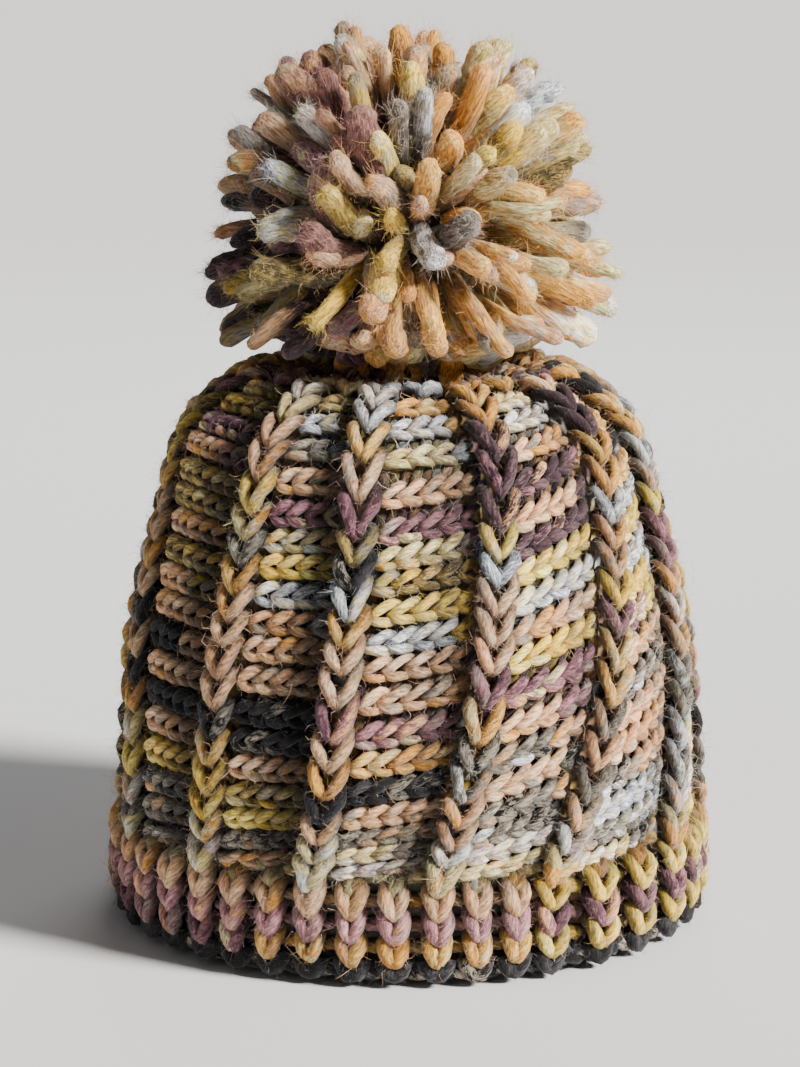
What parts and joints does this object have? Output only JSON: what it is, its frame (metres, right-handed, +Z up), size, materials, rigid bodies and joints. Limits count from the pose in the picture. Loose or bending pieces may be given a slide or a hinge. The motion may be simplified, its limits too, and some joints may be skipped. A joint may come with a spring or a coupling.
{
  "type": "pom-pom hat",
  "caption": "Bulky knitted winter hat standing on its ribbed brim, with raised spiral ribs, a gathered crown and a large yarn pom-pom tied on top.",
  "frame": {"origin": "centre of the brim's footprint, on the surface the hat stands on", "axes": "+Z up through the crown's gathered hole and the pom-pom, front of the hat towards -Y, +X to the right seen from the front"},
  "size_m": [0.1755, 0.1704, 0.2522],
  "materials": {
    "charcoal_yarn": "soft matt wool-like yarn, several colours in turn",
    "brim_yarn": "soft matt wool-like yarn, several colours in turn",
    "rib_yarn": "soft matt wool-like yarn, several colours in turn",
    "panel_yarn": "soft matt wool-like yarn, several colours in turn",
    "tie_yarn": "soft matt wool-like yarn, several colours in turn",
    "orange_roving": "soft matt wool-like yarn, several colours in turn",
    "yellow_roving": "soft matt wool-like yarn, several colours in turn",
    "mauve_roving": "soft matt wool-like yarn, several colours in turn",
    "grey_roving": "soft matt wool-like yarn, several colours in turn"
  },
  "bodies": {
    "hat": {"cast_on_edge": "charcoal_yarn", "ribbed_brim": "brim_yarn", "rib_01": "rib_yarn", "rib_02": "rib_yarn", "rib_03": "rib_yarn", "rib_04": "rib_yarn", "rib_05": "rib_yarn", "rib_06": "rib_yarn", "rib_07": "rib_yarn", "rib_08": "rib_yarn", "rib_09": "rib_yarn", "rib_10": "rib_yarn", "rib_11": "rib_yarn", "rib_12": "rib_yarn", "rib_13": "rib_yarn", "panel_01": "panel_yarn", "panel_02": "panel_yarn", "panel_03": "panel_yarn", "panel_04": "panel_yarn", "panel_05": "panel_yarn", "panel_06": "panel_yarn", "panel_07": "panel_yarn", "panel_08": "panel_yarn", "panel_09": "panel_yarn", "panel_10": "panel_yarn", "panel_11": "panel_yarn", "panel_12": "panel_yarn", "panel_13": "panel_yarn", "crown_shoulder": "panel_yarn", "gathered_crown": "panel_yarn", "gathering_yarn": "tie_yarn", "inner_knot": "tie_yarn"},
    "tie_base": {"tie_lower": "tie_yarn"},
    "tie_neck": {"tie_upper": "tie_yarn"},
    "pompom": {"pompom_core": "tie_yarn", "pompom_binding": "tie_yarn", "tuft_01": "orange_roving", "tuft_02": "yellow_roving", "tuft_03": "mauve_roving", "tuft_04": "grey_roving", "tuft_05": "orange_roving", "tuft_06": "yellow_roving", "tuft_07": "mauve_roving", "tuft_08": "grey_roving", "tuft_09": "orange_roving", "tuft_10": "yellow_roving", "tuft_11": "mauve_roving", "tuft_12": "grey_roving", "tuft_13": "orange_roving", "tuft_14": "yellow_roving", "tuft_15": "mauve_roving", "tuft_16": "grey_roving", "tuft_17": "orange_roving", "tuft_18": "yellow_roving", "tuft_19": "mauve_roving", "tuft_20": "grey_roving"}
  },
  "joints": [
    {"name": "pompom_nod", "type": "hinge", "parent": "hat", "child": "tie_base", "pos_m": [0, 0, 0.1475], "axis": [1, 0, 0], "range_deg": [-7, 7], "stiffness_Nm_per_rad": 0.12},
    {"name": "pompom_sway", "type": "hinge", "parent": "tie_base", "child": "tie_neck", "pos_m": [0, 0, 0.1475], "axis": [0, 1, 0], "range_deg": [-7, 7], "stiffness_Nm_per_rad": 0.12},
    {"name": "pompom_twist", "type": "hinge", "parent": "tie_neck", "child": "pompom", "pos_m": [0, 0, 0.205], "axis": [0, 0, 1], "range_deg": [-20, 20], "stiffness_Nm_per_rad": 0.02}
  ]
}
